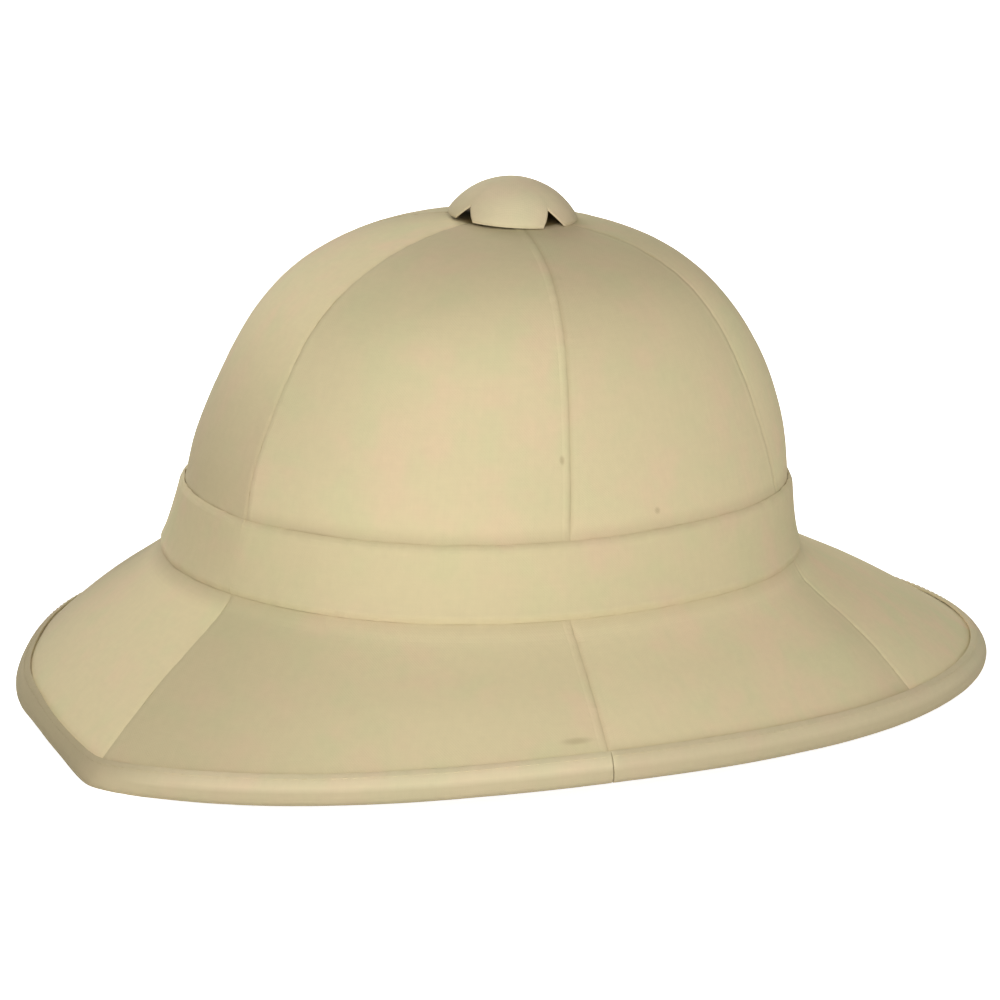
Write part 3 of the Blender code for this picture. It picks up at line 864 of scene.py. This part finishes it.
def cloth_material(name, colours, pitch, tone=1.0, marked=False, dust_and_shade="dust_and_shade"):
    """Woven cotton whose colours are painted lighter by a tone, painted light for its gore, with dust and
    painted shade where a field says so.
    """
    material, tree, surface = new_material(name)
    threads = output(tree, "ShaderNodeUVMap", uv_map="UVMap")
    place = add_node(tree, "ShaderNodeTexCoord").outputs["Object"]
    weave = add_node(tree, "ShaderNodeGroup", {"Threads": threads, "Thread Pitch": pitch}, node_tree=WEAVE)
    cloth, warm, cool, soiled = (paint(*[min(value * tone, LIGHTEST) for value in colour])
                                 for colour in colours)
    fields = {label: add_node(tree, "ShaderNodeAttribute", attribute_name=field).outputs["Fac"]
              for label, field in {**CLOTH_FIELDS, "Under Cap Share": dust_and_shade}.items()}
    fade = add_node(tree, "ShaderNodeGroup", {
        "Place": place, "Tone": weave.outputs["Tone"], "Cloth": cloth, "Warm": warm, "Cool": cool,
        "Grime And Shade Colour": soiled, "Worn Cloth": SHADED_CLOTH, "Under Cap Colour": DUST_AND_SHADE, "Grime And Shade Width": GRIME_AND_SHADE_WIDTH, **fields},
        node_tree=FADE)
    if marked:
        tree.links.new(add_marks(tree, place), fade.inputs["Marked"])
    relief = output(tree, "ShaderNodeBump", {
        "Height": weave.outputs["Height"], "Distance": pitch * WEAVE_DEPTH, "Strength": WEAVE_STRENGTH})
    set_inputs(tree, surface, {
        "Base Color": fade.outputs[0], "Normal": relief, "Roughness": 0.92, "Specular IOR Level": 0.2})
    return material


def pith_material():
    material, tree, surface = new_material("pressed_pith")
    place = add_node(tree, "ShaderNodeTexCoord").outputs["Object"]
    pores = noise(tree, "3D", Vector=place, Scale=420.0, Detail=4.0)
    broad = noise(tree, "3D", Vector=place, Scale=45.0, Detail=3.0)
    tone = mixed(tree, broad, paint(206, 190, 152), paint(184, 164, 124))
    relief = output(tree, "ShaderNodeBump", {"Height": pores, "Distance": 0.0004, "Strength": 0.6})
    set_inputs(tree, surface, {"Base Color": tone, "Normal": relief, "Roughness": 0.95})
    return material


NEAR_GORES = GORES[:2]  # the gores that have the marks
# each gore gets its own copy of the cloth, painted lighter by its tone as painted light
COVER_CLOTHS = [cloth_material("cover_cotton_" + name, COVER_COLOURS, DRILL_PITCH, tone, name in NEAR_GORES)
                for name, tone in zip(GORES, GORE_LIGHT_TONES)]
BAND_CLOTH = cloth_material("band_cotton", BAND_COLOURS, DRILL_PITCH)
TAPE_CLOTH = cloth_material("binding_tape", TAPE_COLOURS, TAPE_PITCH)
# the cap's inner face takes the dark colour in full: painted shade
CAP_CLOTH = cloth_material("cap_cotton", CAP_COLOURS, DRILL_PITCH, dust_and_shade="inner")
PITH = pith_material()

# ---- pith body and band

SHELL_COLUMNS = 144
SHELL_SPACING = 2.6  # of its rows
SHELL_ANGLE = 60.0  # at which they are spaced
SHELL_END = EDGE_STATION - 0.06
SHELL_EDGE = 3.0  # of the grid's UV map, for the edge between its faces
SHELL_UV_RADIUS = 0.1  # metres

BAND_COLUMNS = 400
BAND_SPACING = 0.8
BAND_ANGLE = 90.0
# grime and painted shade along the band's own edges
BAND_GRIME_AND_SHADE = 0.05
BAND_SEED = 21.0


def make_pith_body():
    """The pressed body: outer face and inner face back, closed at the vent and under the binding."""
    outer = -COVER_THICKNESS - GAP
    inner = outer - PITH_THICKNESS
    first = station_at(0.0, VENT_RADIUS - GAP)
    stations, run = even_stations(SHELL_ANGLE, first, SHELL_END, SHELL_SPACING)
    angle = ring_angles(SHELL_COLUMNS)[None, :]
    out = skin_layer(angle, stations[:, None], outer)
    back = skin_layer(angle, stations[::-1][:, None], inner)
    points = np.concatenate([out, back, out[:1]], axis=0)
    along = np.concatenate([run, run[-1] + run + SHELL_EDGE, [2 * run[-1] + 2 * SHELL_EDGE]]) * MM
    mesh = grid_mesh("pith_body", points, np.radians(angle) * SHELL_UV_RADIUS, along[:, None])
    mesh.materials.append(PITH)
    merge_doubles(mesh)
    finish_piece(add_object("pith_body", mesh), "shell")


def make_band():
    stations, run = even_stations(BAND_ANGLE, BAND_TOP_STATION, BAND_BOTTOM_STATION, BAND_SPACING)
    points = skin_layer(ring_angles(BAND_COLUMNS)[None, :], stations[:, None], GAP + BAND_THICKNESS)
    around = run_along(points[len(stations) // 2])
    edge_gap = np.minimum(run, run[-1] - run)[:, None] * MM
    mesh = grid_mesh("cloth_band", points, around[None, :], (run * MM)[:, None],
                     edge_gap=edge_gap, soil=BAND_GRIME_AND_SHADE)
    swap_along(mesh, around, len(stations))
    piece = sew("cloth_band", mesh, "band", BAND_THICKNESS, BAND_SEED, BAND_CLOTH)
    merge_doubles(piece.data)
    finish_piece(piece, "band")


# ---- tape and its stitches

TAPE_TURN_POINTS = 11  # points of the section in each of its turns, and in its flat parts above and below
TAPE_UPPER_POINTS = 4
TAPE_LOWER_POINTS = 6
TAPE_COLUMNS = 720
TAPE_JOINT = SEAM_SIDE[2]
TAPE_END_STEPS = np.array([0.03, 0.07, 0.12, 0.18, 0.26, 0.36])  # degrees from the joint, at each cut end
TAPE_END_STEP = 0.4  # from the last of those steps to the even columns
TAPE_END_SHARPNESS = 4.0  # the cut ends are rounded over a shorter reach than the hems
TAPE_END_FLATNESS = 0.0013  # and less deep: this is added to their distance, in metres
TAPE_SEED = 31.0

# painted shade on the tape: darkest where it rolls under, on the hat's left side and at its front right
# corner
ROLLED_SHADE = 0.5
ROLLED_SHARES = (0.24, 0.34)  # of the section, between which that painted shade sets in
LEFT_SHADE = 0.22
LEFT_START = (TAPE_JOINT, TAPE_JOINT + 1.0)
LEFT_END = (180.0, 220.0)
CORNER_SHADE = 0.85
CORNER_START = (290.0, 318.0)
CORNER_END = (355.0, 374.0)

# at the front right the tape first sits further out, then it is pulled tighter round the edge
TAPE_SLIDE = 1.3
SLIDE_START = (320.0, 330.0)
SLIDE_END = (332.0, 342.0)
TAPE_PULL = 1.5
PULL_START = (336.0, 346.0)
PULL_END = (350.0, 363.0)

STITCH_SPACING = 3.1
STITCH_INSET = 2.1  # of the stitch row from the tape's hem
STITCH_HEIGHT = -0.02  # of a stitch's middle above the tape
STITCH_STEPS = 4000  # in which the row's length is measured
STITCH_MARGIN = 0.5  # degrees between the row's ends and the joint
STITCHES = {"Stitch Length": 0.0022, "Thread Width": 0.0003, "Length Spread": 0.15, "Seed": 5}


def between(angle, start, end):
    """1 between two angles, rising over the first range and falling over the second."""
    return smooth_step(angle, *start) * (1 - smooth_step(angle, *end))


def tape_section():
    """Folded section of the tape: (outward, upward) in millimetres, from its upper to its lower hem.

    Above, the tape rolls over the edge in one long curve; below, it turns under in a tighter one.
    """
    top = GAP + TAPE_THICKNESS
    bottom = -COVER_THICKNESS - PITH_THICKNESS - 2 * GAP - TAPE_THICKNESS
    upper_start = TAPE_OVERHANG - TAPE_ROLL_LENGTH
    lower_start = TAPE_OVERHANG - TAPE_ROUND
    lower_height = top - TAPE_ROLL_DROP - bottom
    turns = np.radians(np.linspace(90, 0, TAPE_TURN_POINTS))
    upper = [(upper_start + TAPE_ROLL_LENGTH * np.cos(turn), top - TAPE_ROLL_DROP * (1 - np.sin(turn)))
             for turn in turns]
    lower = [(lower_start + TAPE_ROUND * np.cos(turn), bottom + lower_height * (1 - np.sin(turn)))
             for turn in turns[::-1]]
    hem = [(x, top) for x in np.linspace(-TAPE_REACH, upper_start, TAPE_UPPER_POINTS)[:-1]]
    back = [(x, bottom) for x in np.linspace(lower_start, -TAPE_REACH, TAPE_LOWER_POINTS)[1:]]
    return np.array(hem + upper + lower[1:] + back)


# painted shade on the tape and its stitches
def tape_shade(angle, share):
    rolled_under = ROLLED_SHADE * smooth_step(share, *ROLLED_SHARES)
    left_side = LEFT_SHADE * between(angle, LEFT_START, LEFT_END)
    right_corner = CORNER_SHADE * between(angle, CORNER_START, CORNER_END)
    return np.maximum(np.maximum(rolled_under, left_side + 0.5 * rolled_under), right_corner)


def edge_points(section, angle):
    """Points of a section, (outward, upward) from the skin's edge, at each angle and kept off the floor."""
    edge, travel = skin_at(angle, np.full(len(angle), float(EDGE_STATION)))
    outward = flat_pair(-travel[:, 1], travel[:, 0])
    slid = TAPE_SLIDE * between(angle, SLIDE_START, SLIDE_END)
    pulled_in = TAPE_PULL * between(angle, PULL_START, PULL_END)
    from_hem = (section[:, :1] + TAPE_REACH) / (TAPE_OVERHANG + TAPE_REACH)
    out = section[:, :1] + slid - pulled_in * from_hem
    flat = edge[None] + out[..., None] * travel[None] + section[:, 1, None, None] * outward[None]
    flat[..., 1] = np.maximum(flat[..., 1], 0.0)
    return hat_point(np.broadcast_to(angle, flat.shape[:2]), flat)


def make_tape():
    section = tape_section()
    run = run_along(section)
    first = TAPE_END_STEPS[-1] + TAPE_END_STEP
    even = np.linspace(first, 360 - TAPE_END_STEP - TAPE_END_STEPS[-1], TAPE_COLUMNS + 1)
    angle = TAPE_JOINT + np.concatenate([TAPE_END_STEPS, even, 360 - TAPE_END_STEPS[::-1]])
    points = edge_points(section, angle)
    around = run_along(points[len(section) // 2])
    hem_gap = np.minimum(run, run[-1] - run) * MM
    end_gap = np.minimum(around, around[-1] - around) * TAPE_END_SHARPNESS + TAPE_END_FLATNESS
    mesh = grid_mesh("edge_tape", points, around[None, :], (run * MM)[:, None],
                     edge_gap=np.minimum(hem_gap[:, None], end_gap[None, :]),
                     worn=tape_shade(angle[None, :], (run / run[-1])[:, None]))
    swap_along(mesh, around, len(section))
    piece = sew("edge_tape", mesh, "tape", TAPE_THICKNESS, TAPE_SEED, TAPE_CLOTH)
    finish_piece(piece, "brim_binding")


def make_stitches():
    """One row of stitches through the tape, a little in from its upper hem."""
    height = GAP + TAPE_THICKNESS + STITCH_HEIGHT
    place = np.array([[STITCH_INSET - TAPE_REACH, height], [STITCH_INSET - TAPE_REACH, height + 1]])
    fine = TAPE_JOINT + np.linspace(STITCH_MARGIN, 360 - STITCH_MARGIN, STITCH_STEPS)
    row, above = edge_points(place, fine)
    run = run_along(row) / MM
    even = np.arange(0, run[-1], STITCH_SPACING)
    points, heading, upward = (np.stack([np.interp(even, run, values[:, axis]) for axis in range(3)], axis=-1)
                               for values in (row, np.gradient(row, axis=0), above - row))
    mesh = bpy.data.meshes.new("tape_stitches")
    mesh.from_pydata(points.tolist(), [], [])
    for label, values in (("heading", unit(heading)), ("upward", unit(upward))):
        field = mesh.attributes.new(label, "FLOAT_VECTOR", "POINT")
        field.data.foreach_set("vector", values.astype(np.float32).ravel())
    set_field(mesh, "worn", tape_shade(np.interp(even, run, fine), 0.0))
    piece = run_tree("tape_stitches", mesh, STITCH_ROW, {**STITCHES, "Material": TAPE_CLOTH})
    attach(piece, "root")


# ---- cap

CAP_COLUMNS = 360
CAP_ROWS = 40
CAP_SEED = 41.0
CAP_SIDE_SHADE = 0.6  # painted shade at the rim of two opposite lobes
CAP_UNSHADED_TOWARD = 45.682  # the other two lobes, towards this angle and away from it, stay unshaded; the angle is the camera's azimuth


def cap_rim(angle):
    """Height of the cap's rim at each angle around the cap."""
    turn = np.radians(angle)
    spot = np.array(CAP_SHIFT) + np.stack([np.sin(turn), -np.cos(turn)], axis=-1) * CAP_RADIUS
    seat = []
    for x, y in spot:
        about = np.degrees(np.arctan2(x, -y))
        station = station_at(about, np.hypot(x, y))
        seat.append(skin_at(np.array([about]), np.array([station]))[0][0, 1] + GAP)
    slant = CAP_SLANT * CAP_RADIUS * (1 + np.cos(np.radians(angle - CAP_SLANT_TOWARD)))
    off = np.abs((angle - CAP_TURN + NOTCH_SPACING / 2) % NOTCH_SPACING - NOTCH_SPACING / 2)
    notch = np.maximum(0, 1 - off / NOTCH_HALF_ANGLE)
    return np.array(seat) + slant + (NOTCH_HEIGHT - slant) * notch


def make_cap():
    angle = CAP_TURN + ring_angles(CAP_COLUMNS)
    rim = cap_rim(angle) - CAP_CENTRE
    rim_tilt = np.arctan2(np.sqrt(CAP_BALL ** 2 - rim ** 2), rim)
    share = np.linspace(0.0, 1.0, CAP_ROWS + 1)[:, None]
    tilt = share * rim_tilt[None, :]
    turn = np.radians(angle)[None, :]
    points = np.stack([CAP_SHIFT[0] + CAP_BALL * np.sin(tilt) * np.sin(turn),
                       HAT_SHIFT + CAP_SHIFT[1] - CAP_BALL * np.sin(tilt) * np.cos(turn),
                       CAP_CENTRE + CAP_BALL * np.cos(tilt)], axis=-1) * MM
    u = np.sin(tilt) * np.sin(turn) * CAP_BALL * MM
    v = np.sin(tilt) * np.cos(turn) * CAP_BALL * MM
    # painted shade on the cap's side lobes, growing towards the rim
    mesh = grid_mesh("cap_cloth", points, u, v, edge_gap=(rim_tilt[None, :] - tilt) * CAP_BALL * MM,
                     worn=CAP_SIDE_SHADE * np.sin(turn - radians(CAP_UNSHADED_TOWARD)) ** 2 * share ** 2)
    swap_along(mesh, np.radians(angle) * CAP_RADIUS * MM, CAP_ROWS + 1)
    merge_doubles(mesh)
    piece = sew("cap_cloth", mesh, "cap", CAP_THICKNESS, CAP_SEED, CAP_CLOTH)
    finish_piece(piece, "ventilator_cap")


make_pith_body()
for gore_number, gore_cloth in enumerate(COVER_CLOTHS):
    make_gore(gore_number, gore_cloth)
make_band()
make_tape()
make_stitches()
make_cap()

# ---- floor, lights and world

FLOOR_HALF = 8.0  # metres
FLOOR_GLOW = 0.88  # the light of the floor as the camera sees it near the hat
FLOOR_FAR_GLOW = 1.0  # and far away
FLOOR_NEAR = 0.5  # metres from the hat where the one starts to turn into the other
FLOOR_FAR = 2.0  # and where it ends
FLOOR_BOUNCE = 0.12  # the light that the hat receives from the floor
WORLD_STRENGTH = 0.02  # and from the world, which is white to the camera alone

# name, azimuth, elevation, distance, width and height in metres, and strength in watts
LIGHTS = (
    ("front_low", 50, 14, 1.6, 1.2, 0.7, 10.6),
    ("front_high", 50, 37, 1.6, 1.2, 1.0, 11.8),
    ("left_high", 320, 50, 1.6, 1.2, 1.0, 1.8),
    ("left_behind", 256, 22, 1.6, 1.2, 1.0, 20.2),
    ("right_behind", 176, 15, 1.6, 1.2, 0.7, 6.9),
)


def make_floor():
    mesh = bpy.data.meshes.new("floor")
    corners = [(x * FLOOR_HALF, y * FLOOR_HALF, 0) for x, y in ((-1, -1), (1, -1), (1, 1), (-1, 1))]
    mesh.from_pydata(corners, [], [(0, 1, 2, 3)])
    material, tree, surface = new_material("pale_floor")
    seen = add_node(tree, "ShaderNodeLightPath").outputs["Is Camera Ray"]
    distance = length(tree, add_node(tree, "ShaderNodeNewGeometry").outputs["Position"])
    shown = ranged(tree, distance, FLOOR_NEAR, FLOOR_FAR, FLOOR_GLOW, FLOOR_FAR_GLOW, "LINEAR")
    extra = product(tree, seen, calc(tree, "SUBTRACT", shown, FLOOR_BOUNCE))
    set_inputs(tree, surface, {
        "Base Color": (0.9, 0.9, 0.9, 1), "Roughness": 0.9, "Emission Color": (1, 1, 1, 1),
        "Emission Strength": calc(tree, "ADD", FLOOR_BOUNCE, extra)})
    mesh.materials.append(material)
    add_object("floor", mesh)


def add_lights():
    for name, azimuth, elevation, distance, width, height, watts in LIGHTS:
        lamp = bpy.data.lights.new(name, "AREA")
        lamp.shape = "RECTANGLE"
        lamp.size, lamp.size_y = width, height
        lamp.energy = watts
        holder = add_object(name, lamp)
        right, up, forward = aim_axes(azimuth, elevation)
        holder.matrix_world = placed(right, up, forward, CAMERA_TARGET - forward * distance)
        holder.visible_camera = False


def make_world():
    world = bpy.data.worlds.new("studio")
    world.use_nodes = True
    tree = world.node_tree
    seen = add_node(tree, "ShaderNodeLightPath").outputs["Is Camera Ray"]
    set_inputs(tree, tree.nodes["Background"], {
        "Color": (1, 1, 1, 1), "Strength": calc(tree, "MAXIMUM", seen, WORLD_STRENGTH)})
    bpy.context.scene.world = world
    bpy.context.scene.view_settings.view_transform = "Standard"


make_floor()
add_lights()
make_world()
